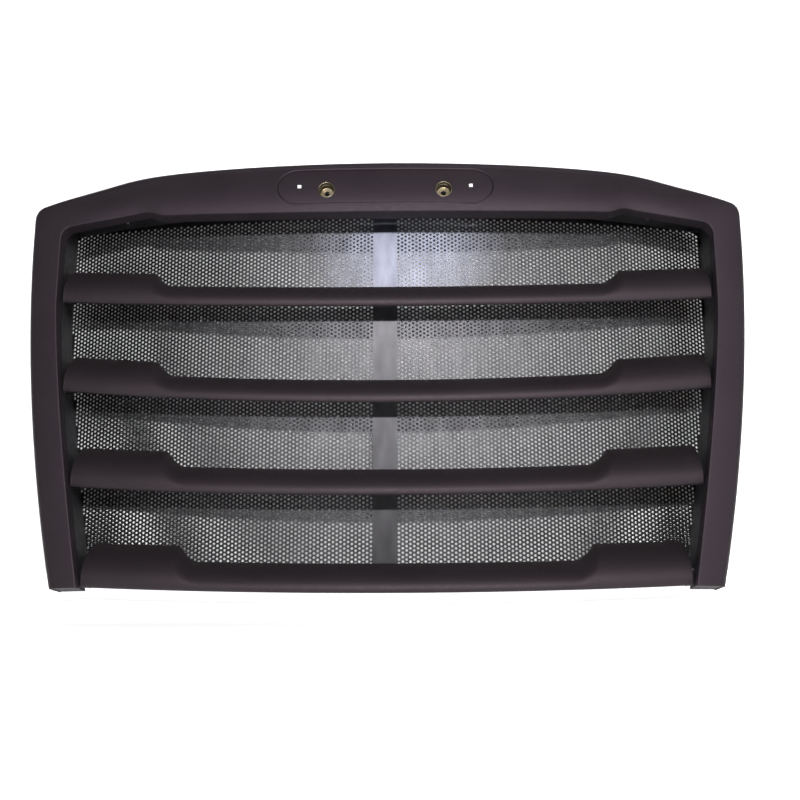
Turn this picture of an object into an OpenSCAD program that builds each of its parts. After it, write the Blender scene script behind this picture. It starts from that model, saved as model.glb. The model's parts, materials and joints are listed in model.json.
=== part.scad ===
// Front grille of a highway truck: an arched surround, four louvres and a perforated bug screen.
// Units are millimetres. +Z is up, +X is to the right seen from the front, and the front faces -Y.
// The origin is midway between the two upper hood bolts. The whole grille leans back.

/* [Face] */
// Backward lean of the grille face, degrees
lean = 17; // [12:0.5:22]
// Half of the overall width
half_width = 597.5; // [580:0.5:620]
// How far the face falls back at the outer edge, seen from above
face_sweep = 70; // [50:1:90]
// Height of the crown, measured up the leaning face
crown_height = 764; // [750:1:780]
// Distance from the middle at which the top edge turns down
shoulder_x = 424; // [400:0.5:450]
// Length over which the top edge turns down
shoulder_blend = 60; // [40:0.5:100]
// Steepness of the top edge beyond the turn
shoulder_slope = 0.266; // [0.2:0.002:0.32]

/* [Surround] */
// Wall thickness of the surround
surround_wall = 3.5; // [3:0.1:4]
// Depth of the outer wall of the surround
rim_depth = 70; // [60:1:80]
// Depth of the short wall inside the opening
reveal_depth = 30; // [26:1:34]
// Rounding of the outer edge
edge_round = 10; // [8:0.5:12]
// Rounding of the inner lip
lip_round = 2.5; // [2:0.25:3.25]
// How far the top rail rolls back towards its upper edge
rail_roll = 16; // [10:1:20]
// How far the legs roll back towards their outer edge
leg_roll = 3; // [1:0.5:6]
// How far the middle of the rail stands proud of its ends
rail_step = 5; // [0:0.5:7]
// Height of the foot of each leg
foot_height = 65; // [60:1:70]
// Half width of the opening at its top
opening_half = 545; // [535:0.5:550]
// How far each leg closes in at the foot, outside
outer_taper = 70; // [55:1:80]
// How far each leg closes in at the foot, inside
inner_taper = 66; // [55:1:72]
// Height of the rail's lower lip at the middle
rail_lip_height = 666.5; // [662:0.5:670]

/* [Badge seat] */
// Half length of the badge seat
seat_half = 177; // [170:1:185]
// Height of the lower edge of the badge seat
seat_base = 682.5; // [681.5:0.5:684]
// Height of the badge seat
seat_height = 68; // [62:1:69]
// Distance of each badge bush from the middle
bush_x = 96; // [86:1:102]
// Height of the middle of each badge bush
bush_height = 707; // [704:1:712]
// Radius of each badge bush
bush_radius = 14; // [13:0.25:15]
// Distance of each locating slot from the middle
slot_x = 141; // [132:1:148]

/* [Louvres] */
// Height of the lowest lip at its ends
lowest_lip = 44.5; // [43:0.5:46]
// How far the lips sag at the middle, as a share of their full sag
lip_sag = 1; // [0:0.1:1]
// Length of the wide part at each end
wide_length = 144; // [120:1:160]
// Length of the step from wide to narrow
step_length = 34; // [26:1:44]
// Height of the section at the ends
wide_height = 55; // [52:0.5:56]
// Depth of the section at the ends
wide_depth = 92; // [88:0.5:92]
// Height of the section in the middle
narrow_height = 33.5; // [32:0.5:35]
// Depth of the section in the middle
narrow_depth = 69; // [66:0.5:70]
// How far the crease at each step swings towards the middle at the lip
crease_pull = 26; // [0:1:40]
// Wall thickness of a louvre
louvre_wall = 4; // [3:0.25:4.5]

/* [Screen] */
// Depth of the screen behind the face, at the middle
screen_depth = 88; // [86:0.5:92]
// How far the screen falls back at its sides
screen_sweep = 72; // [66:1:78]
// Thickness of the screen sheet
sheet_wall = 1.2; // [0.8:0.1:2]
// Height of the lower edge of the screen
screen_base = 74; // [68:1:80]
// Thickness of the clamp straps behind the screen
strap_wall = 3; // [2:0.5:4]

/* [Mounting] */
// Distance of each upper hood bolt from the middle
upper_bolt_x = 360; // [330:1:390]
// Distance of each lower hood bolt from the middle
lower_bolt_x = 500; // [490:1:505]
// Radius of the hood bolt holes
bolt_hole_radius = 5.25; // [4.5:0.25:6]
// Width of a bracket strap
bracket_width = 36; // [32:1:40]
// Thickness of a bracket strap
bracket_wall = 3; // [2.5:0.5:4]

/* [Hidden] */
// Half widths at which the sweep of the face and of the screen are measured.
reach = 600;
opening_reach = 540;
face_radius = (pow(reach, 2) + pow(face_sweep, 2)) / (2 * face_sweep);
screen_radius = (pow(opening_reach, 2) + pow(screen_sweep, 2)) / (2 * screen_sweep);
round_steps = 720;
small_round = 48;
// Where the upper hood bolts are on the leaning face: up it, and back from it.
ref_height = 685;
ref_depth = 365;
// Depth and height of the lower hood bolts, seen from the upper ones.
lower_mount = [-148, -652];
// Depths that clear the whole grille in front and behind, and the small overlap that keeps cuts clean.
near_clear = -60;
far_clear = 400;
spare = 1;
crown_bow = 10;
widest_height = 650;
bend_height = 540;
lip_kink = [365, 398];
lip_rise = [7, 9];
lip_end = [526, 667.5];
leg_top_outer = 688;
leg_top_inner = 645;
corner_outer_x = 596.8;
rail_outer_x = 582;
outer_curve = 1.9;
inner_curve = 1.35;
roll_blend = 120;
proud_blend = 20;
// The line under the rail that the screen and its frame follow, above the rail's lip.
arch_lift = 17.5;
arch_drop = 14;
// Steps along each part of the surround's outline.
leg_steps = 10;
corner_steps = 5;
end_steps = 5;
kink_steps = 5;
rail_steps = 6;
// Louvres, from the lowest one up.
lip_rises = [0, 151.5, 302.5, 449.5];
lip_sags = [0.5, 8, 17, 10.5] * lip_sag;
lip_heights = [for (rise = lip_rises) lowest_lip + rise];
louvre_halves = [478, 505.5, 529, 540];
wide_size = [wide_height, wide_depth];
narrow_size = [narrow_height, narrow_depth];
louvre_setback = 20;
nose = 5;
flange_length = 16;
wide_steps = 3;
turn_steps = 12;
narrow_steps = 6;
end_wall = 3;
screw_depth = 46;
screw_rise = 17;
spacer_radius = 6;
// Gap between parts that are clamped or bonded together, and clearance round a screw.
gap = 0.5;
screw_gap = 0.3;
// Inner frame.
cheek_wall = 3;
cheek_offset = 2;
cheek_top = 708;
flange_width = 24;
flange_wall = 3;
front_flange_width = 40;
side_base = foot_height + 12;
side_top = 652;
roof_rise = 36;
roof_half = 430;
sill_height = 14;
sill_depth = 16;
screen_overlap = 20;
screen_rise = 34;
screw_row = 27;
screw_inset = 14;
strap_inset = [4, 22];
strap_base = foot_height + 36;
strap_top_height = 640;
strap_rise = [20, 36];
strap_half = 520;
sill_strap = 18;
post_size = [32, 14];
post_wall = 2;
post_base = screen_base + 22;
post_top = 698;
// Badge seat: it tips back about its lower edge, and its bushes stand square to the face.
seat_tilt = 16.5;
seat_floor = -5.5;
seat_reach = 60;
pad_wall = 4;
slot_size = [6.5, 8];
slot_rise = 31.5;
bush_mouth = 0.5;
// Fasteners.
screw_radius = 2.4;
screw_head_radius = 5.2;
screw_head_height = 2.6;
boss_radius = 5.5;
boss_core = 2.6;
boss_root = 3;
boss_core_length = 20;
leg_boss_length = 28.5;
rail_boss_length = 19.5;
boss_inset = 27;
boss_rise = 46;
boss_heights = [150, 300, 450, 600];
boss_xs = [-410, -230, 230, 410];

black = [0.13, 0.11, 0.12];
inner_black = [0.07, 0.07, 0.08];
steel = [0.62, 0.63, 0.65];
brass = [0.62, 0.5, 0.3];
nylon = [0.9, 0.9, 0.88];
rubber = [0.05, 0.05, 0.05];

// How far a bend of radius r has fallen back at distance x from the middle.
function fall(x, r) = r - sqrt(r * r - x * x);
// A smooth change from 0 to 1 as t goes from 0 to 1.
function ease(t) = let (c = min(1, max(0, t))) c * c * (3 - 2 * c);
function mix(a, b, t) = a + (b - a) * t;
// A point of the leaning face: x across, v up the face, w forward of it, in the part's frame.
function at(x, v, w) = [x,
                        v * sin(lean) - w * cos(lean) - ref_depth,
                        v * cos(lean) + w * sin(lean) - ref_height];

// The outlines of the surround, seen square on to its face.
function leg_outer(v) =
    half_width - outer_taper * pow(max(0, widest_height - v) / (widest_height - foot_height), outer_curve);
function leg_inner(v) =
    opening_half - inner_taper * pow(max(0, bend_height - v) / (bend_height - foot_height), inner_curve);
function crown(x) =
    let (past = abs(x) - shoulder_x)
    crown_height - crown_bow * pow(x / rail_outer_x, 2)
    - shoulder_slope * (sqrt(past * past + shoulder_blend * shoulder_blend) + past) / 2;
function rail_lip(x) =
    let (d = abs(x), top = rail_lip_height + lip_rise[0] + lip_rise[1])
    d < lip_kink[0]
    ? rail_lip_height + lip_rise[0] * pow(d / lip_kink[0], 2)
    : d < lip_kink[1]
    ? rail_lip_height + lip_rise[0] + lip_rise[1] * ease((d - lip_kink[0]) / (lip_kink[1] - lip_kink[0]))
    : top - (top - lip_end[1]) * (d - lip_kink[1]) / (lip_end[0] - lip_kink[1]);
// A curve from a to c that is pulled towards b.
function bend(a, b, c, t) = (1 - t) * (1 - t) * a + 2 * t * (1 - t) * b + t * t * c;

// Matching points of the outer and inner outline, from the right foot up to the middle of the rail.
function outer_at(x) = [x, crown(x)];
function inner_at(x) = [x, rail_lip(x)];
function outer_beside(v) = [leg_outer(v), v];
function inner_beside(v) = [leg_inner(v), v];
half_path = concat(
    [for (i = [0:leg_steps])
        [outer_beside(mix(foot_height, leg_top_outer, i / leg_steps)),
         inner_beside(mix(foot_height, leg_top_inner, i / leg_steps))]],
    [for (i = [1:corner_steps])
        [bend(outer_beside(leg_top_outer), outer_at(corner_outer_x), outer_at(rail_outer_x),
              i / corner_steps),
         bend(inner_beside(leg_top_inner), inner_at(opening_half), inner_at(lip_end[0]),
              i / corner_steps)]],
    [for (i = [1:end_steps])
        [outer_at(mix(rail_outer_x, lip_kink[1], i / end_steps)),
         inner_at(mix(lip_end[0], lip_kink[1], i / end_steps))]],
    [for (i = [1:kink_steps]) let (x = mix(lip_kink[1], lip_kink[0], i / kink_steps))
        [outer_at(x), inner_at(x)]],
    [for (i = [1:rail_steps]) let (x = mix(lip_kink[0], 0, i / rail_steps)) [outer_at(x), inner_at(x)]]);
function flip(p) = [-p[0], p[1]];
path = concat(half_path,
              [for (i = [len(half_path) - 2:-1:0]) [flip(half_path[i][0]), flip(half_path[i][1])]]);

// How far the outer edge rolls back, and how far the face stands proud, at a point of the outline.
function roll_at(o) =
    o[1] < leg_top_outer ? leg_roll : mix(leg_roll, rail_roll, ease((rail_outer_x - abs(o[0])) / roll_blend));
function proud_at(x) =
    rail_step * (1 - ease((abs(x) - lip_kink[0]) / (lip_kink[1] - lip_kink[0] + proud_blend)));
// One pair [outside, inside] of points of the surround's wall section, between outline points o and i.
// Distances run from the outer edge and forward; t is an angle on the roundings and a share on the face.
function section_pair(o, i, kind, t) =
    let (width = norm(i - o),
         dir = (i - o) / width,
         roll = roll_at(o),
         proud = abs(i[1]) > leg_top_inner ? proud_at(i[0]) : 0,
         thin = surround_wall,
         bend_inside = max(gap, lip_round - thin),
         a = kind == "rear" ? [0, -rim_depth]
           : kind == "edge" ? [edge_round * (1 - cos(t)), -edge_round * (1 - sin(t)) - roll]
           : kind == "face" ? let (d = mix(edge_round, width - lip_round, t))
                              [d, -roll * pow(1 - t, 2) + proud * ease(t)]
           : kind == "lip" ? [width - lip_round * (1 - sin(t)), -lip_round * (1 - cos(t)) + proud]
           : [width, -reveal_depth],
         b = kind == "rear" ? [thin, -rim_depth]
           : kind == "edge" ? [edge_round - (edge_round - thin) * cos(t),
                               -edge_round + (edge_round - thin) * sin(t) - roll]
           : kind == "face" ? [a[0], a[1] - thin]
           : kind == "lip" ? [width - thin - bend_inside * (1 - sin(t)),
                              proud - thin - bend_inside * (1 - cos(t))]
           : [width - thin, -reveal_depth])
    [for (q = [a, b]) let (p = o + dir * q[0]) at(p[0], p[1], q[1] - fall(p[0], face_radius))];
section_plan = [["rear", 0], ["edge", 0], ["edge", 30], ["edge", 60], ["edge", 90],
                ["face", 0.3], ["face", 0.65], ["lip", 0], ["lip", 45], ["lip", 90], ["reveal", 0]];

// A closed shell through a row of sections; each section is a list of [outside, inside] pairs.
module loft(sections) {
    pairs = len(sections[0]);
    count = 2 * pairs;
    rows = len(sections);
    points = [for (s = sections) each concat([for (p = s) p[0]], [for (k = [pairs - 1:-1:0]) s[k][1]])];
    sides = [for (r = [0:rows - 2], k = [0:count - 1])
             let (a = r * count + k, b = r * count + (k + 1) % count)
             each [[a, b, b + count], [a, b + count, a + count]]];
    last = (rows - 1) * count;
    caps = [for (k = [0:pairs - 2])
            let (a = k, b = k + 1, c = count - 2 - k, d = count - 1 - k)
            each [[a, c, b], [a, d, c], [last + a, last + b, last + c], [last + a, last + c, last + d]]];
    polyhedron(points, concat(sides, caps), convexity = 12);
}

// Places children in the leaning frame: x across, y rearward from the face, z up the face.
module face_frame() {
    translate([0, -ref_depth, -ref_height])
        rotate([-lean, 0, 0])
            children();
}

// A slab bent about an upright line, from one depth to the next, tall enough for the whole grille.
module bent_slab(depth, thick, radius) {
    translate([0, depth + radius, -reach / 2])
        difference() {
            cylinder(r = radius, h = 2 * reach, $fn = round_steps);
            translate([0, 0, -spare])
                cylinder(r = radius - thick, h = 2 * (reach + spare), $fn = round_steps);
        }
}

// Everything behind a bent surface at this depth.
module behind(depth, radius) {
    translate([0, depth + radius, -reach / 2])
        cylinder(r = radius, h = 2 * reach, $fn = round_steps);
}

// A flat outline in x and v, pushed through the whole depth of the grille.
module through(near, far) {
    translate([0, far, 0])
        rotate([90, 0, 0])
            linear_extrude(far - near)
                children();
}

// The band beside the opening on the right, between two distances from the inner outline.
module side_band(from, to, low, high) {
    steps = 14;
    polygon(concat([for (i = [0:steps]) let (v = mix(low, high, i / steps)) [leg_inner(v) + from, v]],
                   [for (i = [steps:-1:0]) let (v = mix(low, high, i / steps)) [leg_inner(v) + to, v]]));
}

// The band along the rail lip, between two heights above it.
module top_band(from, to, half) {
    steps = 26;
    polygon(concat([for (i = [0:steps]) let (x = mix(-half, half, i / steps)) [x, top_line(x) + from]],
                   [for (i = [steps:-1:0]) let (x = mix(-half, half, i / steps)) [x, top_line(x) + to]]));
}
function top_line(x) = rail_lip_height + arch_lift - arch_drop * pow(x / opening_half, 4);

module mirror_to(side) {
    mirror([side < 0 ? 1 : 0, 0, 0])
        children();
}

// ---- Surround ----

module seat_outline(extra) {
    r = seat_height / 2 + extra;
    for (side = [-1, 1])
        translate([side * (seat_half - seat_height / 2), seat_base + seat_height / 2])
            circle(r = r, $fn = small_round * 2);
    translate([-(seat_half - seat_height / 2), seat_base - extra])
        square([2 * seat_half - seat_height, seat_height + 2 * extra]);
}

// Places children in the plane of the badge seat: it tips back about its lower edge.
module seat_frame() {
    face_frame()
        translate([0, seat_floor, seat_base])
            rotate([-seat_tilt, 0, 0])
                translate([0, 0, -seat_base])
                    children();
}

module seat_slab(depth, thick, extra) {
    intersection() {
        through(-seat_reach, seat_reach)
            seat_outline(extra);
        bent_slab(depth, thick, face_radius);
    }
}

// Bosses end inside the front wall, which rolls back more on the rail than on the legs.
boss_places = concat(
    [for (v = boss_heights, side = [-1, 1]) [side * (leg_inner(v) + boss_inset), v, leg_boss_length]],
    [for (x = boss_xs) [x, top_line(x) + boss_rise, rail_boss_length]]);
boss_depth = reveal_depth + 1 - gap / 2;
module boss_frame(p) {
    translate([p[0], boss_depth + fall(p[0], face_radius), p[1]])
        rotate([90, 0, 0])
            children();
}

module surround() {
    color(black)
        difference() {
            union() {
                loft([for (s = path) [for (k = section_plan) section_pair(s[0], s[1], k[0], k[1])]]);
                surround_bosses();
            }
            seat_frame()
                seat_slab(-seat_reach / 2, seat_reach, 0);
        }
}

// Hollow posts on the back of the surround that take the frame screws.
module surround_bosses() {
    face_frame()
        difference() {
            for (p = boss_places)
                boss_frame(p)
                    translate([0, 0, -boss_root])
                        cylinder(r = boss_radius, h = p[2] + boss_root, $fn = small_round);
            behind(boss_depth, face_radius);
            for (p = boss_places)
                boss_frame(p)
                    translate([0, 0, -2 * boss_root])
                        cylinder(r = boss_core, h = boss_core_length, $fn = small_round);
        }
}

// The oval insert that fills the badge seat, bent like the face, with two bores and two square slots.
module badge_plate() {
    clearance = 0.3;
    color(black)
        difference() {
            seat_frame()
                difference() {
                    seat_slab(0, pad_wall, -clearance);
                    for (side = [-1, 1])
                        translate([side * slot_x - slot_size[0] / 2, -seat_reach / 2, seat_base + slot_rise])
                            cube([slot_size[0], seat_reach, slot_size[1]]);
                }
            for (side = [-1, 1])
                bush_frame(side, -seat_reach / 2)
                    cylinder(r = bush_radius + clearance, h = seat_reach, $fn = small_round);
        }
}

// Places children at a badge bush, with z pointing rearward from a depth behind the face.
module bush_frame(side, depth) {
    face_frame()
        translate([side * bush_x, fall(bush_x, face_radius) + depth, bush_height])
            rotate([-90, 0, 0])
                children();
}

// Nylon inserts with a small pilot hole, pressed into the square slots of the badge seat.
module badge_clips() {
    rim = 0.2;
    sunk = 1;
    length = 12;
    pilot = 1.25;
    front_wall = 3;
    color(nylon)
        seat_frame()
            for (side = [-1, 1])
                translate([side * slot_x, fall(slot_x, face_radius) + sunk,
                           seat_base + slot_rise + slot_size[1] / 2])
                    difference() {
                        translate([rim - slot_size[0] / 2, 0, rim - slot_size[1] / 2])
                            cube([slot_size[0] - 2 * rim, length, slot_size[1] - 2 * rim]);
                        translate([0, length + spare, 0])
                            rotate([90, 0, 0])
                                cylinder(r = pilot, h = length + spare - front_wall, $fn = small_round);
                    }
}

// A cup with a screw hole in its floor.
module badge_bush(side) {
    length = 21;
    floor_wall = 3;
    wall = 2.2;
    screw_hole = 3.5;
    color(brass)
        bush_frame(side, bush_mouth)
            difference() {
                cylinder(r = bush_radius, h = length, $fn = small_round);
                translate([0, 0, -spare])
                    cylinder(r = bush_radius - wall, h = length - floor_wall + spare, $fn = small_round);
                translate([0, 0, -spare])
                    cylinder(r = screw_hole, h = length + 2 * spare, $fn = small_round);
            }
}

// A plug that closes the open foot of a leg.
module leg_plug(side) {
    plug = 5;
    inset = surround_wall + spare;
    low = foot_height + spare;
    color(rubber)
        face_frame()
            mirror_to(side)
                intersection() {
                    through(near_clear, far_clear)
                        polygon([[leg_inner(low) + inset, low],
                                 [leg_outer(low) - inset, low],
                                 [leg_outer(low + plug) - inset, low + plug],
                                 [leg_inner(low + plug) + inset, low + plug]]);
                    bent_slab(edge_round + leg_roll, rim_depth - edge_round - leg_roll, face_radius);
                }
}

// ---- Louvres ----

// How much of the wide section there is at x: a crease ends it, and it fades out smoothly beyond the crease.
// The crease swings towards the middle as it nears the lip; rise is 0 at the lip and 1 at the rear edge.
function wide_part(n, x, rise) =
    let (crease = louvre_halves[n] - wide_length - crease_pull * pow(1 - rise, 2),
         past = min(1, max(0, (crease - abs(x)) / step_length)))
    pow(1 - past, 2) * (1 + past / 2);
function lip_z(n, x) = lip_heights[n] - lip_sags[n] * (1 - pow(x / louvre_halves[n], 2));
function lip_y(n, x) = (lip_z(n, x) * sin(lean) + louvre_setback + fall(x, face_radius)) / cos(lean);
// One pair [outside, inside] of points of louvre n's wall section at x: flange, nose, then a quarter oval.
function louvre_pair(n, x, kind, t) =
    let (u = wide_part(n, x, kind == "arc" ? sin(t) : 0),
         tall = mix(narrow_size[0], wide_size[0], u) - nose,
         deep = mix(narrow_size[1], wide_size[1], u),
         thin = louvre_wall,
         a = kind == "flange" ? [flange_length, 0]
           : kind == "under" ? [nose, 0]
           : kind == "nose" ? [1.4, 1.6]
           : [deep * (1 - cos(t)), nose + tall * sin(t)],
         b = kind == "flange" ? [flange_length, thin]
           : kind == "under" ? [nose + 3, thin]
           : kind == "nose" ? [nose + 0.5, thin + 0.4]
           : [deep - (deep - thin) * cos(t), nose + thin / 4 + (tall - thin * 1.25) * sin(t)])
    [for (q = [a, b]) [x, lip_y(n, x) + q[0] - ref_depth, lip_z(n, x) + q[1] - ref_height]];
louvre_plan = [["flange", 0], ["under", 0], ["nose", 0], ["arc", 0], ["arc", 14], ["arc", 28],
               ["arc", 44], ["arc", 60], ["arc", 76], ["arc", 90]];
function louvre_section(n, x) = [for (k = louvre_plan) louvre_pair(n, x, k[0], k[1])];

// Positions along a louvre: few where it is plain and more on the steps.
function louvre_stations(n) =
    let (e = louvre_halves[n], s = e - wide_length, m = s - step_length - crease_pull,
         half = concat([for (i = [0:wide_steps - 1]) mix(e, s, i / wide_steps)],
                       [for (i = [0:turn_steps - 1]) mix(s, m, i / turn_steps)],
                       [for (i = [0:narrow_steps]) mix(m, 0, i / narrow_steps)]))
    concat([for (x = half) -x], [for (i = [len(half) - 2:-1:0]) half[i]]);

// Where the screw goes into the right end of a louvre.
function end_screw(n) = [louvre_halves[n],
                         lip_y(n, louvre_halves[n]) + screw_depth - ref_depth,
                         lip_z(n, louvre_halves[n]) + screw_rise - ref_height];
// The wall that closes the right end of a louvre.
module louvre_end(n) {
    x = louvre_halves[n] - end_wall - spare;
    mid = [for (p = louvre_section(n, x)) (p[0] + p[1]) / 2];
    translate([x, 0, 0])
        rotate([90, 0, 90])
            linear_extrude(end_wall)
                polygon([for (p = mid) [p[1], p[2]]]);
}

module louvre(n) {
    color(black)
        difference() {
            union() {
                loft([for (x = louvre_stations(n)) louvre_section(n, x)]);
                for (side = [-1, 1])
                    mirror_to(side)
                        louvre_end(n);
            }
            for (side = [-1, 1])
                mirror_to(side)
                    translate(end_screw(n) - [wide_depth / 2, 0, 0])
                        rotate([0, 90, 0])
                            cylinder(r = screw_radius, h = wide_depth, $fn = small_round);
        }
}

module louvre_1() { louvre(3); }
module louvre_2() { louvre(2); }
module louvre_3() { louvre(1); }
module louvre_4() { louvre(0); }

// Short tubes between each louvre end and the frame.
// How high on the leaning face, and how far behind it, a point of the part is.
function face_height(p) = (p[1] + ref_depth) * sin(lean) + (p[2] + ref_height) * cos(lean);
function face_depth(p) = (p[1] + ref_depth) * cos(lean) - (p[2] + ref_height) * sin(lean);
function cheek_x(n) = leg_inner(face_height(end_screw(n)) - spacer_radius) + cheek_offset;
module louvre_spacers() {
    sunk = 1 - gap / 4;
    color(inner_black)
        for (n = [0:3], side = [-1, 1]) {
            length = cheek_x(n) - louvre_halves[n] + sunk - gap / 4;
            mirror_to(side)
                translate(end_screw(n) - [sunk, 0, 0])
                    rotate([0, 90, 0])
                        difference() {
                            cylinder(r = spacer_radius, h = length, $fn = small_round);
                            translate([0, 0, -spare])
                                cylinder(r = screw_radius + screw_gap, h = length + 2, $fn = small_round);
                        }
        }
}

// Pan head screws that hold the louvre ends to the frame, driven from outside it.
module pan_screw(length) {
    cylinder(r = screw_radius - gap / 5, h = length, $fn = small_round);
    translate([0, 0, -screw_head_height])
        cylinder(r1 = screw_head_radius - spare, r2 = screw_head_radius, h = screw_head_height,
                 $fn = small_round);
}

module louvre_screws() {
    stand_off = 2.6;
    bite = 12;
    color(steel)
        for (n = [0:3], side = [-1, 1])
            mirror_to(side)
                translate([cheek_x(n) + cheek_wall + stand_off, end_screw(n)[1], end_screw(n)[2]])
                    rotate([0, -90, 0])
                        pan_screw(cheek_x(n) + cheek_wall + stand_off - louvre_halves[n] + bite);
}

// ---- Screen, frame and straps ----

module screen_outline() {
    steps = 16;
    arch_steps = 24;
    arch_half = opening_half + 16;
    right = [for (i = [0:steps]) let (v = mix(screen_base, strap_top_height, i / steps))
             [leg_inner(v) + screen_overlap, v]];
    arch = [for (i = [0:arch_steps]) let (x = mix(arch_half, -arch_half, i / arch_steps))
            [x, top_line(x) + screen_rise]];
    polygon(concat(right, arch, [for (i = [steps:-1:0]) flip(right[i])]));
}

module bug_screen() {
    color(steel)
        face_frame()
            difference() {
                intersection() {
                    through(0, far_clear)
                        screen_outline();
                    bent_slab(screen_depth, sheet_wall, screen_radius);
                }
                screw_holes();
            }
}

// Where the screen screws go: x across and v up the face.
side_screw_heights = [170, 320, 470, 615];
top_screw_xs = [-450, -270, -90, 90, 270, 450];
bottom_screw_xs = [-360, -120, 120, 360];
bracket_screw_heights = [98, 126];
bracket_screw_spread = 11;
bottom_screw_rise = 9;
function side_screw_x(v) = leg_inner(v) + screw_inset;
bracket_screw_places = concat(
    [for (side = [-1, 1], d = [-bracket_screw_spread, bracket_screw_spread])
        [side * upper_bolt_x + d, top_line(upper_bolt_x) + screw_row]],
    [for (side = [-1, 1], v = bracket_screw_heights) [side * side_screw_x(v), v]]);
screen_screw_places = concat(
    [for (v = side_screw_heights, side = [-1, 1]) [side * side_screw_x(v), v]],
    [for (x = top_screw_xs) [x, top_line(x) + screw_row]],
    [for (x = bottom_screw_xs) [x, screen_base + bottom_screw_rise]]);

// Places children on the bent screen, with z pointing rearward from its front face.
module on_screen(x, v) {
    translate([x, screen_depth + fall(x, screen_radius), v])
        rotate([-90, 0, asin(x / screen_radius)])
            children();
}

module screw_holes() {
    length = 40;
    for (p = concat(screen_screw_places, bracket_screw_places))
        on_screen(p[0], p[1])
            translate([0, 0, -length / 2])
                cylinder(r = screw_radius + screw_gap, h = length, $fn = small_round);
}

// An outline pushed from just behind the surround's reveal to just in front of the screen.
module between_face_and_screen() {
    difference() {
        intersection() {
            through(0, far_clear)
                children();
            behind(reveal_depth + spare, face_radius);
        }
        behind(screen_depth - gap, screen_radius + gap);
    }
}

// Side wall of the inner frame: carries the louvre ends, with a flange for the screen.
module frame_side(side) {
    color(inner_black)
        face_frame()
            mirror_to(side)
                difference() {
                    union() {
                        between_face_and_screen()
                            side_band(cheek_offset, cheek_offset + cheek_wall, foot_height + 8, cheek_top);
                        rear_flange()
                            side_band(cheek_offset, flange_width, side_base, side_top);
                        front_flange()
                            side_band(cheek_offset, front_flange_width, side_base, side_top);
                    }
                    screw_holes();
                    boss_holes();
                    for (n = [0:3])
                        translate([louvre_halves[n], face_depth(end_screw(n)), face_height(end_screw(n))])
                            rotate([0, 90, 0])
                                cylinder(r = screw_radius + screw_gap, h = far_clear / 10, $fn = small_round);
                }
}

// A flange just in front of the screen, and one just behind the surround's reveal.
module rear_flange() {
    intersection() {
        through(0, far_clear)
            children();
        bent_slab(screen_depth - flange_wall - gap, flange_wall, screen_radius + flange_wall + gap);
    }
}
module front_flange() {
    intersection() {
        through(0, far_clear)
            children();
        bent_slab(reveal_depth + spare, flange_wall, face_radius);
    }
}

module boss_holes() {
    for (p = boss_places)
        boss_frame(p)
            translate([0, 0, -seat_reach / 2])
                cylinder(r = screw_radius + screw_gap, h = seat_reach, $fn = small_round);
}
module frame_left() { frame_side(-1); }
module frame_right() { frame_side(1); }

// Upper wall of the inner frame, hidden in the hollow of the rail.
module frame_top() {
    half = opening_half;
    color(inner_black)
        face_frame()
            difference() {
                union() {
                    rear_flange()
                        top_band(roof_rise - 18, roof_rise + 2, half);
                    between_face_and_screen()
                        top_band(roof_rise, roof_rise + cheek_wall, half);
                    front_flange()
                        top_band(roof_rise, roof_rise + 18, roof_half);
                }
                screw_holes();
                boss_holes();
            }
}

// Lower rail of the inner frame, behind the lowest louvre.
module frame_bottom() {
    half = leg_inner(screen_base) - 4;
    color(inner_black)
        face_frame()
            difference() {
                union() {
                    rear_flange()
                        translate([-half, screen_base])
                            square([2 * half, sill_height]);
                    intersection() {
                        translate([-half, 0, screen_base])
                            cube([2 * half, far_clear, cheek_wall]);
                        bent_slab(screen_depth - sill_depth - gap, sill_depth,
                                  screen_radius + sill_depth + gap);
                    }
                }
                screw_holes();
            }
}

// Flat straps that clamp the screen edge from behind.
module strap() {
    color(steel)
        face_frame()
            difference() {
                intersection() {
                    through(0, far_clear)
                        children();
                    bent_slab(screen_depth + sheet_wall, strap_wall, screen_radius - sheet_wall);
                }
                screw_holes();
            }
}
module strap_left() {
    strap()
        mirror([1, 0])
            side_band(strap_inset[0], strap_inset[1], strap_base, strap_top_height);
}
module strap_right() {
    strap()
        side_band(strap_inset[0], strap_inset[1], strap_base, strap_top_height);
}
module strap_top() {
    strap()
        top_band(strap_rise[0], strap_rise[1], strap_half);
}
module strap_bottom() {
    half = leg_inner(screen_base) + screen_overlap - 2;
    strap()
        translate([-half, screen_base + spare])
            square([2 * half, sill_strap]);
}

// Upright channel behind the plain strip of the screen.
module centre_post() {
    height = post_top - post_base;
    color(steel)
        face_frame()
            translate([-post_size[0] / 2, screen_depth + sheet_wall + gap, post_base])
                difference() {
                    cube([post_size[0], post_size[1], height]);
                    translate([post_wall, post_wall, -spare])
                        cube([post_size[0] - 2 * post_wall, post_size[1], height + 2 * spare]);
                }
}

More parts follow.
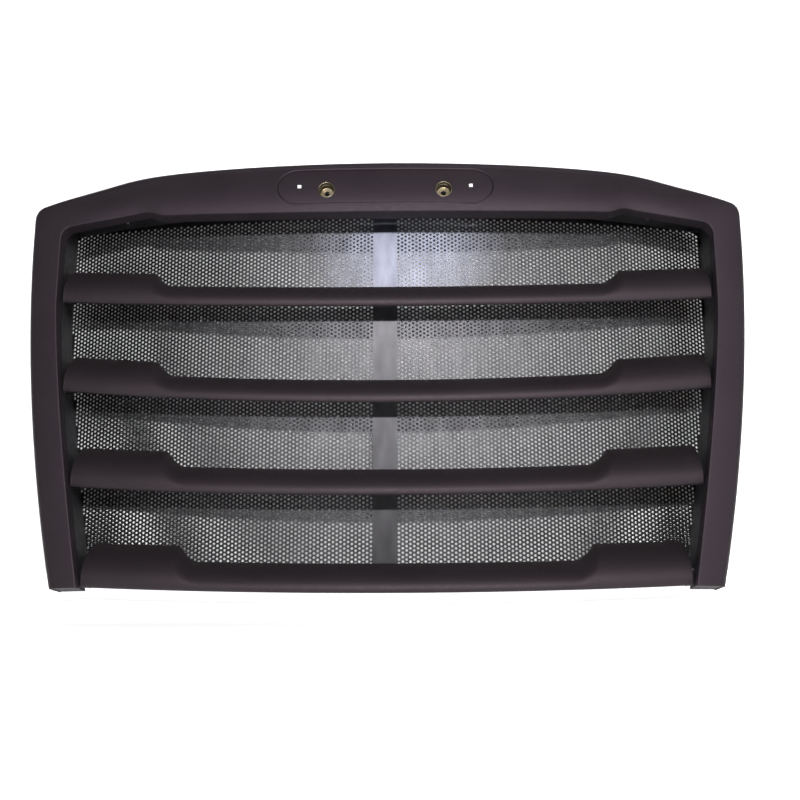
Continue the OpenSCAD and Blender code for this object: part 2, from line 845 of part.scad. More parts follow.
// Small angle stays that tie the middle of each louvre to the strip and post.
module louvre_stays() {
    stay_width = 26;
    wall = 2.5;
    under = 24;
    drop = 15;
    clear = 1.2;
    pitch = 0.5;
    screen_gap = 5;
    color(inner_black)
        for (n = [0:3]) {
            top_z = lip_z(n, 0) + narrow_size[0] - louvre_wall - 2 * gap;
            rear_y = lip_y(n, 0) + narrow_size[1];
            flange = n == 0 ? flange_wall + gap : 0;
            leg = n == 0 ? 6 : 12;
            screen_y = (top_z * sin(lean) + screen_depth - flange) / cos(lean);
            translate([-stay_width / 2, rear_y - under - ref_depth, top_z - drop - ref_height])
                intersection() {
                    union() {
                        translate([0, 0, drop - wall - clear])
                            rotate([-pitch, 0, 0])
                                cube([stay_width, screen_y - rear_y + under - 2, wall]);
                        translate([0, screen_y - rear_y + under - wall - screen_gap, 0])
                            rotate([-lean, 0, 0])
                                translate([0, 0, -leg])
                                    cube([stay_width, wall, leg + drop - spare]);
                    }
                    translate([-spare, 0, -far_clear / 2])
                        cube([stay_width + 2 * spare, far_clear, far_clear / 2 + drop - clear]);
                }
        }
}

module screen_screws() {
    length = 16;
    color(steel)
        face_frame()
            for (p = screen_screw_places)
                on_screen(p[0], p[1])
                    translate([0, 0, sheet_wall + strap_wall + gap / 5])
                        mirror([0, 0, 1])
                            pan_screw(length);
}

// Spring clip nuts on the frame flange, one under each screen screw.
module clip_nuts() {
    nut = [13, 11, 1.2];
    barrel_radius = 3.6;
    barrel = 4;
    color(inner_black)
        face_frame()
            for (p = screen_screw_places)
                on_screen(p[0], p[1])
                    translate([0, 0, -flange_wall - gap - nut[2]])
                        difference() {
                            union() {
                                translate([-nut[0] / 2, -nut[1] / 2, 0])
                                    cube(nut);
                                translate([0, 0, -barrel])
                                    cylinder(r = barrel_radius, h = barrel + nut[2], $fn = small_round);
                            }
                            translate([0, 0, -barrel - spare])
                                cylinder(r = screw_radius, h = barrel + nut[2] + 2, $fn = small_round);
                        }
}

// ---- Mounting ----

// A thin band through a row of points, with rounded bends.
module strip(points) {
    for (i = [0:len(points) - 2]) {
        a = points[i];
        b = points[i + 1];
        translate(a)
            rotate(atan2(b[1] - a[1], b[0] - a[0]))
                translate([0, -bracket_wall / 2])
                    square([norm(b - a), bracket_wall]);
        if (i > 0)
            translate(a)
                circle(r = bracket_wall / 2, $fn = small_round);
    }
}

// A bent strap: its foot lies behind the screen's clamp strap and its ear is upright.
// The ear's rear face is at y = hole[0] and its bolt hole at z = hole[1].
module bracket(side, x, low, high, hole) {
    up = hole[1] > -ref_height / 2 ? 1 : -1;
    inset = 2;
    ear = 17;
    edge = up > 0 ? high - inset : low + inset;
    middle = (low + high) / 2;
    behind = sheet_wall + strap_wall + gap / 5;
    start = at(x, edge, -(screen_depth + behind + bracket_wall / 2 + fall(x, screen_radius)));
    ear_y = hole[0] - bracket_wall / 2;
    color(steel)
        mirror_to(side)
            difference() {
                union() {
                    face_frame()
                        on_screen(x, middle)
                            translate([-bracket_width / 2, -(high - low) / 2, behind])
                                cube([bracket_width, high - low, bracket_wall]);
                    translate([x - bracket_width / 2, 0, 0])
                        rotate([90, 0, 90])
                            linear_extrude(bracket_width)
                                strip([[start[1], start[2]], [ear_y, start[2]], [ear_y, hole[1] + up * ear]]);
                }
                face_frame()
                    on_screen(x, middle)
                        translate([-reach / 2, -reach / 2, behind - reach])
                            cube([reach, reach, reach]);
                face_frame()
                    screw_holes();
                translate([x, hole[0] - bracket_width / 2, hole[1]])
                    rotate([-90, 0, 0])
                        cylinder(r = bolt_hole_radius, h = bracket_width, $fn = small_round);
            }
}
module bracket_upper(side) {
    foot = [20, 50];
    bracket(side, upper_bolt_x, top_line(upper_bolt_x) + foot[0], top_line(upper_bolt_x) + foot[1], [0, 0]);
}
module bracket_lower(side) {
    foot = [88, 138];
    bracket(side, lower_bolt_x, foot[0], foot[1], lower_mount);
}

// Screws that hold the brackets through strap, screen and frame.
module bracket_screws() {
    length = 19;
    color(steel)
        face_frame()
            for (p = bracket_screw_places)
                on_screen(p[0], p[1])
                    translate([0, 0, sheet_wall + strap_wall + bracket_wall + screw_gap])
                        mirror([0, 0, 1])
                            pan_screw(length);
}

// Screws from the frame's front flange into the bosses of the surround.
module frame_screws() {
    length = 16;
    color(inner_black)
        face_frame()
            for (p = boss_places)
                boss_frame(p)
                    translate([0, 0, -flange_wall - gap - spare])
                        pan_screw(length);
}

// Foam strip along the rear edge of the rail, where it meets the hood.
module top_seal() {
    foam = 6;
    half = 500;
    front = 48;
    width = 16;
    steps = 24;
    xs = [for (i = [0:steps]) mix(-half, half, i / steps)];
    color(rubber)
        face_frame()
            intersection() {
                through(0, far_clear)
                    polygon(concat([for (x = xs) [x, crown(x) + spare]],
                                   [for (i = [steps:-1:0]) [xs[i], crown(xs[i]) + foam]]));
                bent_slab(front, width, face_radius);
            }
}

surround();
louvre_1();
louvre_2();
louvre_3();
louvre_4();
bug_screen();
frame_left();
frame_right();
frame_top();
frame_bottom();
strap_left();
strap_right();
strap_top();
strap_bottom();
centre_post();
badge_plate();
badge_bush(-1);  // badge_bush_left
badge_bush(1);  // badge_bush_right
badge_clips();
leg_plug(-1);  // leg_plug_left
leg_plug(1);  // leg_plug_right
louvre_spacers();
louvre_screws();
louvre_stays();
screen_screws();
clip_nuts();
bracket_upper(-1);  // bracket_upper_left
bracket_upper(1);  // bracket_upper_right
bracket_lower(-1);  // bracket_lower_left
bracket_lower(1);  // bracket_lower_right
bracket_screws();
frame_screws();
top_seal();
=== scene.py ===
import json
import math

import bmesh
import bpy
from mathutils import Matrix, Vector


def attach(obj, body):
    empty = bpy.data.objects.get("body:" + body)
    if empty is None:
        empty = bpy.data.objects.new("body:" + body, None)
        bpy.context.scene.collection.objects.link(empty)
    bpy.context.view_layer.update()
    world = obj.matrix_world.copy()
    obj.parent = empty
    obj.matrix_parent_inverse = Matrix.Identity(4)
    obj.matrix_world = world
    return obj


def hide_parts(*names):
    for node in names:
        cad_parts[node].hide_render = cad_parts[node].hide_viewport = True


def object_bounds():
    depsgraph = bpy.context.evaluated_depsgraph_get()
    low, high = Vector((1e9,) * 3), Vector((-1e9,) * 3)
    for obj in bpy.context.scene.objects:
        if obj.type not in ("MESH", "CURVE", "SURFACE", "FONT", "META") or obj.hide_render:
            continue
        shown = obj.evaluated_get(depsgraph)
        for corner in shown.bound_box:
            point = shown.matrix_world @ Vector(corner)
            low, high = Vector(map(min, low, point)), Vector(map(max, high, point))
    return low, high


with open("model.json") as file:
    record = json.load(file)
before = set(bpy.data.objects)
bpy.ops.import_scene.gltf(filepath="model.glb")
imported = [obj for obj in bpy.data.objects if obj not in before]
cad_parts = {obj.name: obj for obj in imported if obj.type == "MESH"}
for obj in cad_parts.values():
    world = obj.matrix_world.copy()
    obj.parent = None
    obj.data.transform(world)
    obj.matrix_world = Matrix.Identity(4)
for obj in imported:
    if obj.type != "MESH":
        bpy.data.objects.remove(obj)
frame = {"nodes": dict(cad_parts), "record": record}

CAD_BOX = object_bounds()
MM = 0.001

# ---- Face of the grille: the same dimensions as the CAD source, in millimetres ----

LEAN = math.radians(17)
HALF_WIDTH = 597.5
CROWN_HEIGHT = 764
SHOULDER_X = 424
SHOULDER_BLEND = 60
SHOULDER_SLOPE = 0.266
CROWN_BOW = 10
WALL = 3.5
RIM_DEPTH = 70
REVEAL_DEPTH = 30
EDGE_ROUND = 10
LIP_ROUND = 2.5
LIP_BEND = 0.6
RAIL_ROLL = 16
LEG_ROLL = 3
RAIL_STEP = 5
LIP_FALL = 3.2
LIP_FALL_POWER = 5
BLEND_LENGTH = 120
STEP_RUN_OUT = 20
FOOT = 65
OPENING_HALF = 545
OUTER_TAPER = 70
OUTER_POWER = 1.9
INNER_TAPER = 66
INNER_POWER = 1.35
RAIL_LIP = 666.5
LIP_KINK = (365, 398)
LIP_RISE = (7, 9)
LIP_END = (526, 667.5)
LEG_TOP_OUTER = 688
LEG_TOP_INNER = 645
ARCH_HEIGHT = 684
ARCH_DROP = 14
CORNER_OUTER_X = 596.8
RAIL_OUTER_X = 582
WIDEST = 650
BEND_HEIGHT = 540
REF_DEPTH = 365
REF_HEIGHT = 685
FACE_RADIUS = (600 ** 2 + 70 ** 2) / (2 * 70)
SCREEN_RADIUS = (540 ** 2 + 72 ** 2) / (2 * 72)
SCREEN_DEPTH = 88
SHEET = 1.2
SCREEN_BASE = 74

SEAT_HALF = 177
SEAT_BASE = 682.5
SEAT_HEIGHT = 68
SEAT_TILT = math.radians(16.5)
SEAT_FLOOR = -5.5
SEAT_RECESS = 1.2
BUSH_X = 96
BUSH_HEIGHT = 707
BUSH_RADIUS = 14
BUSH_MOUTH = 0.5
SLOT_X = 141
SLOT_SIZE = (6.5, 8)
SLOT_RISE = 31.5
PLATE = 4

LOUVRE_HALVES = (478, 505.5, 529, 540)
LIP_HEIGHTS = (44.5, 196, 347, 494)
LIP_SAGS = (0.5, 8, 17, 10.5)
WIDE_LENGTH = 144
STEP_LENGTH = 34
CREASE_PULL = 26
WIDE_SIZE = (55, 92)
NARROW_SIZE = (33.5, 69)
LOUVRE_WALL = 4
LOUVRE_SETBACK = 20
NOSE = 5


def side_name(side):
    return "right" if side > 0 else "left"


def mix(a, b, t):
    return a + (b - a) * t


def ease(t):
    c = min(1.0, max(0.0, t))
    return c * c * (3 - 2 * c)


def fall(x, radius):
    return radius - math.sqrt(radius * radius - x * x)


def at(x, v, w):
    """A point of the leaning face, x across, v up the face and w forward of it, in the part's frame."""
    return (x,
            v * math.sin(LEAN) - w * math.cos(LEAN) - REF_DEPTH,
            v * math.cos(LEAN) + w * math.sin(LEAN) - REF_HEIGHT)


def leg_outer(v):
    return HALF_WIDTH - OUTER_TAPER * (max(0, WIDEST - v) / (WIDEST - FOOT)) ** OUTER_POWER


def leg_inner(v):
    return OPENING_HALF - INNER_TAPER * (max(0, BEND_HEIGHT - v) / (BEND_HEIGHT - FOOT)) ** INNER_POWER


def crown(x):
    past = abs(x) - SHOULDER_X
    return (CROWN_HEIGHT - CROWN_BOW * (x / RAIL_OUTER_X) ** 2
            - SHOULDER_SLOPE * (math.hypot(past, SHOULDER_BLEND) + past) / 2)


def rail_lip(x):
    d = abs(x)
    top = RAIL_LIP + sum(LIP_RISE)
    if d < LIP_KINK[0]:
        return RAIL_LIP + LIP_RISE[0] * (d / LIP_KINK[0]) ** 2
    if d < LIP_KINK[1]:
        return RAIL_LIP + LIP_RISE[0] + LIP_RISE[1] * ease((d - LIP_KINK[0]) / (LIP_KINK[1] - LIP_KINK[0]))
    return top - (top - LIP_END[1]) * (d - LIP_KINK[1]) / (LIP_END[0] - LIP_KINK[1])


def top_line(x):
    return ARCH_HEIGHT - ARCH_DROP * (x / OPENING_HALF) ** 4


# ---- Mesh helpers ----

def linked(name, data):
    """A new object in the scene, with its mesh, camera or light."""
    obj = bpy.data.objects.new(name, data)
    bpy.context.scene.collection.objects.link(obj)
    return obj


def raw_mesh(name, points, faces):
    """A new object from points in millimetres, with flat faces."""
    mesh = bpy.data.meshes.new(name)
    mesh.from_pydata([tuple(c * MM for c in p) for p in points], [], faces)
    mesh.validate()
    return linked(name, mesh)


def mesh_object(name, points, faces, smooth_angle=35):
    """A new object from points in millimetres, smooth except where faces meet at more than smooth_angle."""
    obj = raw_mesh(name, points, faces)
    finish_mesh(obj, smooth_angle)
    return obj


def finish_mesh(obj, smooth_angle):
    bm = bmesh.new()
    bm.from_mesh(obj.data)
    bmesh.ops.remove_doubles(bm, verts=bm.verts, dist=1e-7)
    bmesh.ops.recalc_face_normals(bm, faces=bm.faces)
    limit = math.radians(smooth_angle)
    for face in bm.faces:
        face.smooth = True
    for edge in bm.edges:
        edge.smooth = len(edge.link_faces) == 2 and edge.calc_face_angle(0) < limit
    bm.to_mesh(obj.data)
    bm.free()


def grid_faces(rows, columns):
    """Quads between neighbouring rows of a grid of points; the last column joins the first."""
    return [(r * columns + k, r * columns + (k + 1) % columns,
             (r + 1) * columns + (k + 1) % columns, (r + 1) * columns + k)
            for r in range(rows - 1) for k in range(columns)]


def ring_faces(rings, columns):
    """Quads of a grid of points that closes both ways: the last ring also joins the first."""
    return [(r * columns + k, r * columns + (k + 1) % columns,
             (r + 1) % rings * columns + (k + 1) % columns, (r + 1) % rings * columns + k)
            for r in range(rings) for k in range(columns)]


def circle(centre, radius, steps):
    """Points round a circle as (x, v)."""
    turns = [2 * math.pi * i / steps for i in range(steps)]
    return [(centre[0] + radius * math.cos(a), centre[1] + radius * math.sin(a)) for a in turns]


def loft(rings):
    """Points and faces of a closed solid through rings of equal length, with flat ends."""
    count = len(rings[0])
    points = [p for ring in rings for p in ring]
    faces = grid_faces(len(rings), count)
    last = (len(rings) - 1) * count
    faces.append(tuple(range(count)))
    faces.append(tuple(last + k for k in range(count)))
    return points, faces


def shell(sections):
    """A closed shell through sections, each a list of [outside, inside] points; quads close its ends."""
    pairs = len(sections[0])
    count = 2 * pairs
    points = []
    for section in sections:
        points += [p[0] for p in section] + [p[1] for p in reversed(section)]
    faces = grid_faces(len(sections), count)
    for base in (0, (len(sections) - 1) * count):
        faces += [(base + k, base + k + 1, base + count - 2 - k, base + count - 1 - k)
                  for k in range(pairs - 1)]
    return points, faces


def merged(parts):
    """One list of points and one of faces from several."""
    points, faces = [], []
    for more_points, more_faces in parts:
        faces += [tuple(len(points) + i for i in face) for face in more_faces]
        points += more_points
    return points, faces


def cut(obj, cutters):
    """Takes closed cutters out of obj, and deletes them."""
    for cutter in cutters:
        tool = obj.modifiers.new("cut", "BOOLEAN")
        tool.operation = "DIFFERENCE"
        tool.solver = "EXACT"
        tool.object = cutter
    bpy.context.view_layer.update()
    done = bpy.data.meshes.new_from_object(obj.evaluated_get(bpy.context.evaluated_depsgraph_get()))
    obj.modifiers.clear()
    old = obj.data
    obj.data = done
    bpy.data.meshes.remove(old)
    for cutter in cutters:
        bpy.data.objects.remove(cutter)


# ---- Surround ----

def bend(a, b, c, t):
    return tuple((1 - t) ** 2 * a[k] + 2 * t * (1 - t) * b[k] + t * t * c[k] for k in (0, 1))


LEG_STEPS = 64
CORNER_STEPS = 26
END_STEPS = 36
KINK_STEPS = 28
RAIL_STEPS = 90


def outline_pairs():
    """Matching points of the outer and inner outline, from the right foot round to the left foot."""
    half = []
    for i in range(LEG_STEPS + 1):
        outer_v = mix(FOOT, LEG_TOP_OUTER, i / LEG_STEPS)
        inner_v = mix(FOOT, LEG_TOP_INNER, i / LEG_STEPS)
        half.append(((leg_outer(outer_v), outer_v), (leg_inner(inner_v), inner_v)))
    for i in range(1, CORNER_STEPS + 1):
        t = i / CORNER_STEPS
        half.append((bend((leg_outer(LEG_TOP_OUTER), LEG_TOP_OUTER), (CORNER_OUTER_X, crown(CORNER_OUTER_X)),
                          (RAIL_OUTER_X, crown(RAIL_OUTER_X)), t),
                     bend((leg_inner(LEG_TOP_INNER), LEG_TOP_INNER), (OPENING_HALF, rail_lip(OPENING_HALF)),
                          (LIP_END[0], rail_lip(LIP_END[0])), t)))
    for i in range(1, END_STEPS + 1):
        inner_x = mix(LIP_END[0], LIP_KINK[1], i / END_STEPS)
        outer_x = mix(RAIL_OUTER_X, LIP_KINK[1], i / END_STEPS)
        half.append(((outer_x, crown(outer_x)), (inner_x, rail_lip(inner_x))))
    for start, end, steps in ((LIP_KINK[1], LIP_KINK[0], KINK_STEPS), (LIP_KINK[0], 0, RAIL_STEPS)):
        for i in range(1, steps + 1):
            x = mix(start, end, i / steps)
            half.append(((x, crown(x)), (x, rail_lip(x))))
    return half + [((-o[0], o[1]), (-i[0], i[1])) for o, i in reversed(half[:-1])]


def roll_at(outer):
    if outer[1] < LEG_TOP_OUTER:
        return LEG_ROLL
    return mix(LEG_ROLL, RAIL_ROLL, ease((RAIL_OUTER_X - abs(outer[0])) / BLEND_LENGTH))


def proud_at(x):
    return RAIL_STEP * (1 - ease((abs(x) - LIP_KINK[0]) / (LIP_KINK[1] - LIP_KINK[0] + STEP_RUN_OUT)))


def lip_fall_at(outer):
    """How far the lower edge of the rail falls back from the face; the legs stay flat."""
    if outer[1] < LEG_TOP_OUTER:
        return 0
    return LIP_FALL * ease((RAIL_OUTER_X - abs(outer[0])) / BLEND_LENGTH)


def face_curve(t, roll, proud, lip_fall):
    """How far forward the face stands, from its outer edge at t = 0 to its lip at t = 1."""
    return -roll * (1 - t) ** 2 + proud * ease(t) - lip_fall * t ** LIP_FALL_POWER


EDGE_ANGLES = [90 * i / 10 for i in range(11)]
FACE_PLACES = [i / 22 for i in range(1, 22)]
LIP_ANGLES = [90 * i / 10 for i in range(11)]


def surround_section(outer, inner):
    """One wall section as [outside, inside] pairs."""
    ox, ov = outer
    width = math.hypot(inner[0] - ox, inner[1] - ov)
    direction = ((inner[0] - ox) / width, (inner[1] - ov) / width)
    roll = roll_at(outer)
    proud = proud_at(inner[0]) if inner[1] > LEG_TOP_INNER else 0
    lip_fall = lip_fall_at(outer)
    lip = proud - lip_fall
    pairs = [((0, -RIM_DEPTH), (WALL, -RIM_DEPTH)), ((0, -RIM_DEPTH / 2), (WALL, -RIM_DEPTH / 2))]
    for angle in EDGE_ANGLES:
        c, s = math.cos(math.radians(angle)), math.sin(math.radians(angle))
        pairs.append(((EDGE_ROUND * (1 - c), -EDGE_ROUND * (1 - s) - roll),
                      (EDGE_ROUND - (EDGE_ROUND - WALL) * c, -EDGE_ROUND + (EDGE_ROUND - WALL) * s - roll)))
    for t in FACE_PLACES:
        d = mix(EDGE_ROUND, width - LIP_ROUND, t)
        w = face_curve(t, roll, proud, lip_fall)
        pairs.append(((d, w), (d, w - WALL)))
    for angle in LIP_ANGLES:
        c, s = math.cos(math.radians(angle)), math.sin(math.radians(angle))
        pairs.append(((width - LIP_ROUND * (1 - s), lip - LIP_ROUND * (1 - c)),
                      (width - WALL - LIP_BEND * (1 - s), lip - WALL - LIP_BEND * (1 - c))))
    pairs.append(((width, -REVEAL_DEPTH), (width - WALL, -REVEAL_DEPTH)))
    section = []
    for pair in pairs:
        points = []
        for along, forward in pair:
            x = ox + direction[0] * along
            v = ov + direction[1] * along
            points.append(at(x, v, forward - fall(x, FACE_RADIUS)))
        section.append(points)
    return section


def rail_face(x, v):
    """How far the front of the rail stands forward at x and v, near the middle."""
    width = crown(x) - rail_lip(x)
    t = (crown(x) - v - EDGE_ROUND) / (width - LIP_ROUND - EDGE_ROUND)
    roll = roll_at((x, crown(x)))
    if t < 0:
        d = crown(x) - v
        return (-EDGE_ROUND + math.sqrt(max(0, EDGE_ROUND ** 2 - (EDGE_ROUND - d) ** 2))
                - roll - fall(x, FACE_RADIUS))
    lip_fall = lip_fall_at((x, crown(x)))
    return face_curve(min(1, t), roll, proud_at(x), lip_fall) - fall(x, FACE_RADIUS)


# ---- Badge seat ----

def seat_point(x, depth, v):
    """A point of the badge seat's plane: depth runs rearward from it, v up it."""
    up = v - SEAT_BASE
    y = depth * math.cos(SEAT_TILT) + up * math.sin(SEAT_TILT) + SEAT_FLOOR
    z = -depth * math.sin(SEAT_TILT) + up * math.cos(SEAT_TILT) + SEAT_BASE
    return at(x, z, -y)


SEAT_ROUND_FOOT = 1.3
SEAT_ROUND_TOP = 4.4
SEAT_END_STEPS = 48
SEAT_SIDE_STEPS = 60


def round_over(nv):
    """The rounding of the seat's edge where it faces nv upward: tight along its foot, wide along its top."""
    return mix(SEAT_ROUND_FOOT, SEAT_ROUND_TOP, (1 + nv) / 2)


def seat_loop(grow, rounding=0):
    """Places round the seat's oval as (x, v, outward x, outward v), grown and perhaps rounded over."""
    radius = SEAT_HEIGHT / 2
    centre_v = SEAT_BASE + radius
    straight = SEAT_HALF - radius
    loop = []
    for side in (1, -1):
        for i in range(SEAT_END_STEPS + 1):
            a = math.radians(-90 * side + 180 * i / SEAT_END_STEPS)
            reach = radius + grow + rounding * round_over(math.sin(a))
            loop.append((side * straight + reach * math.cos(a), centre_v + reach * math.sin(a),
                         math.cos(a), math.sin(a)))
        for i in range(1, SEAT_SIDE_STEPS):
            x = mix(side * straight, -side * straight, i / SEAT_SIDE_STEPS)
            loop.append((x, centre_v + side * (radius + grow + rounding * round_over(side)), 0, side))
    return loop


def seat_prism(name, grow, near, far):
    """A closed oval prism through the rail, square to the seat and bent like it."""
    rings = [[seat_point(x, depth + fall(x, FACE_RADIUS), v) for x, v, _, _ in seat_loop(grow, 1)]
             for depth in (near, far)]
    return mesh_object(name, *loft(rings))


def lean_of_seat(v):
    """The height on the leaning face that the seat's own height v lands on."""
    return SEAT_BASE + (v - SEAT_BASE) * math.cos(SEAT_TILT)


def seat_face(x, v, depth):
    """A point depth behind the front of the rail, at x across and v up the seat."""
    up = lean_of_seat(v)
    return at(x, up, rail_face(x, up) - depth)


RIM_PROUD = 0.06
RIM_DROP = 9
RIM_TURNS = 10
RIM_OVERLAP = 1.2
RIM_BURIED = 0.5


def seat_rim():
    """The rounded edge that leads from the rail's face down into the seat, as a closed ring."""
    rings = []
    for x, v, nx, nv in seat_loop(0):
        ring = []
        for i in range(RIM_TURNS + 1):
            a = math.radians(90 * i / RIM_TURNS)
            out = round_over(nv) * (1 - math.sin(a))
            down = round_over(nv) * (1 - math.cos(a))
            ring.append(seat_face(x + nx * out, v + nv * out, down - RIM_PROUD))
        ring.append(seat_face(x, v, RIM_DROP))
        wide = round_over(nv) + RIM_OVERLAP
        ring.append(seat_face(x + nx * wide, v + nv * wide, RIM_DROP))
        ring.append(seat_face(x + nx * wide, v + nv * wide, RIM_BURIED))
        rings.append(ring)
    return [p for ring in rings for p in ring], ring_faces(len(rings), len(rings[0]))


def face_place(x, depth, v):
    """A point depth behind the flat face plane, at x across and v up it."""
    return at(x, v, -depth)


def turned(profile, x, v, steps):
    """A closed turned shape from a profile of (radius, depth), on an axis square to the flat face plane."""
    points = []
    for i in range(steps):
        a = 2 * math.pi * i / steps
        points += [face_place(x + r * math.cos(a), depth, v + r * math.sin(a)) for r, depth in profile]
    return points, ring_faces(steps, len(profile))


BOSS_RADIUS = 5.5
BOSS_CORE = 2.6
BOSS_EDGE = 0.5
BOSS_GAP = 0.75
BOSS_SIDES = 32
LEG_BOSS_HEIGHTS = (150, 300, 450, 600)
LEG_BOSS_INSET = 27
LEG_BOSS_LENGTH = 26
RAIL_BOSS_XS = (-410, -230, 230, 410)
RAIL_BOSS_RISE = 46
RAIL_BOSS_LENGTH = 19
SEAT_CUT_SHRINK = 0.15
SEAT_CUT_NEAR = -40
SEAT_CUT_FAR = 60


def boss_places():
    """The posts that the frame is screwed to, as (x, v, length)."""
    legs = [(side * (leg_inner(v) + LEG_BOSS_INSET), v, LEG_BOSS_LENGTH)
            for v in LEG_BOSS_HEIGHTS for side in (-1, 1)]
    return legs + [(x, top_line(x) + RAIL_BOSS_RISE, RAIL_BOSS_LENGTH) for x in RAIL_BOSS_XS]


def make_surround():
    """The moulding: a shell of rail and legs with the badge seat cut out, the seat's rim, and the posts."""
    body = mesh_object("surround_shell", *shell([surround_section(o, i) for o, i in outline_pairs()]))
    cut(body, [seat_prism("seat_cutter", -SEAT_CUT_SHRINK, SEAT_CUT_NEAR, SEAT_CUT_FAR)])
    finish_mesh(body, 35)
    rim = mesh_object("surround_seat_rim", *seat_rim())
    posts = []
    for x, v, length in boss_places():
        rear = REVEAL_DEPTH + BOSS_GAP + fall(x, FACE_RADIUS)
        front = rear - length
        profile = [(BOSS_CORE, rear), (BOSS_RADIUS - BOSS_EDGE, rear), (BOSS_RADIUS, rear + BOSS_EDGE),
                   (BOSS_RADIUS, front), (BOSS_CORE, front)]
        posts.append(turned(profile, x, v, BOSS_SIDES))
    bosses = mesh_object("surround_bosses", *merged(posts))
    return join([body, rim, bosses])


def join(objects):
    """Joins objects into the first one."""
    for obj in bpy.context.selected_objects:
        obj.select_set(False)
    with bpy.context.temp_override(active_object=objects[0], selected_editable_objects=objects):
        bpy.ops.object.join()
    return objects[0]


PLATE_CLEARANCE = 0.4
PLATE_ROUND = 0.6
PLATE_TURNS = 4
PLATE_REAR_STEPS = 10
PLATE_FRONT_STEPS = 16
PLATE_EASE = 0.3
BORE_CLEARANCE = 0.3
TURNED_SIDES = 64
CUTTER_REACH = 20


def make_plate():
    """The oval insert, a little behind the rail's front: a rounded rim, two bores and two square slots."""
    whole = SEAT_HEIGHT / 2 - PLATE_CLEARANCE
    profile = [(whole, PLATE)]
    profile += [(whole * (1 - i / PLATE_REAR_STEPS), PLATE) for i in range(1, PLATE_REAR_STEPS)]
    for i in range(PLATE_TURNS + 1):
        a = math.radians(90 * i / PLATE_TURNS)
        profile.append((PLATE_ROUND * (1 - math.cos(a)), PLATE_ROUND * (1 - math.sin(a))))
    profile += [(mix(PLATE_ROUND, whole, i / PLATE_FRONT_STEPS), 0) for i in range(1, PLATE_FRONT_STEPS + 1)]
    points = [seat_face(x, v, SEAT_RECESS + depth) for inset, depth in profile
              for x, v, _, _ in seat_loop(-PLATE_CLEARANCE - inset)]
    around = len(points) // len(profile)
    plate = mesh_object("badge_insert", points, grid_faces(len(profile), around))
    cutters = []
    for side in (-1, 1):
        ring = circle((side * BUSH_X, BUSH_HEIGHT), BUSH_RADIUS + BORE_CLEARANCE, TURNED_SIDES)
        bore = [[face_place(x, depth + fall(BUSH_X, FACE_RADIUS), v) for x, v in ring]
                for depth in (-CUTTER_REACH, CUTTER_REACH)]
        cutters.append(mesh_object("bore_cutter", *loft(bore)))
        half_x, half_v = (size / 2 for size in SLOT_SIZE)
        slot = [[seat_point(side * SLOT_X + a * half_x, depth + fall(SLOT_X, FACE_RADIUS),
                            SEAT_BASE + SLOT_RISE + half_v + b * half_v)
                 for a, b in ((-1, -1), (1, -1), (1, 1), (-1, 1))]
                for depth in (-CUTTER_REACH, CUTTER_REACH)]
        cutters.append(mesh_object("slot_cutter", *loft(slot)))
    cut(plate, cutters)
    edge = plate.modifiers.new("eased_edges", "BEVEL")
    edge.width = PLATE_EASE * MM
    edge.segments = 2
    edge.limit_method = "ANGLE"
    edge.angle_limit = math.radians(50)
    finish_mesh(plate, 30)
    return plate


def make_bush(side):
    """A turned bush: a cup with an eased mouth, a step in its wall and a hole in its floor."""
    profile = [(14, 21), (14, 1.1), (13.7, 0.6), (13.2, 0.3), (12.6, 0.3), (12.1, 0.6), (11.9, 1.1),
               (11.8, 8), (11.2, 8.4), (11.1, 9), (11.1, 17.4), (10.7, 18), (4.2, 18), (3.5, 18.6), (3.5, 21)]
    placed = [(r, BUSH_MOUTH + depth + fall(BUSH_X, FACE_RADIUS)) for r, depth in profile]
    name = "badge_bush_%s_turned" % side_name(side)
    return mesh_object(name, *turned(placed, side * BUSH_X, BUSH_HEIGHT, TURNED_SIDES), smooth_angle=40)


# ---- Louvres ----

def lip_z(n, x):
    return LIP_HEIGHTS[n] - LIP_SAGS[n] * (1 - (x / LOUVRE_HALVES[n]) ** 2)


def lip_y(n, x):
    return (lip_z(n, x) * math.sin(LEAN) + LOUVRE_SETBACK + fall(x, FACE_RADIUS)) / math.cos(LEAN)


def wide_part(n, x, rise):
    """How much of the wide section there is: all of it up to a crease, and less and less beyond it."""
    crease = LOUVRE_HALVES[n] - WIDE_LENGTH - CREASE_PULL * (1 - rise) ** 2
    past = min(1, max(0, (crease - abs(x)) / STEP_LENGTH))
    return (1 - past) ** 2 * (1 + past / 2)


FLANGE = (16, 11)
NOSE_TURNS = 8
NOSE_INSIDE = 1.2
ARC_TURNS = 44
WIDE_STATIONS = 16
STEP_STATIONS = 56
NARROW_STATIONS = 40
END_WALL = 3
END_ROUND = 1.6
END_TURNS = 5


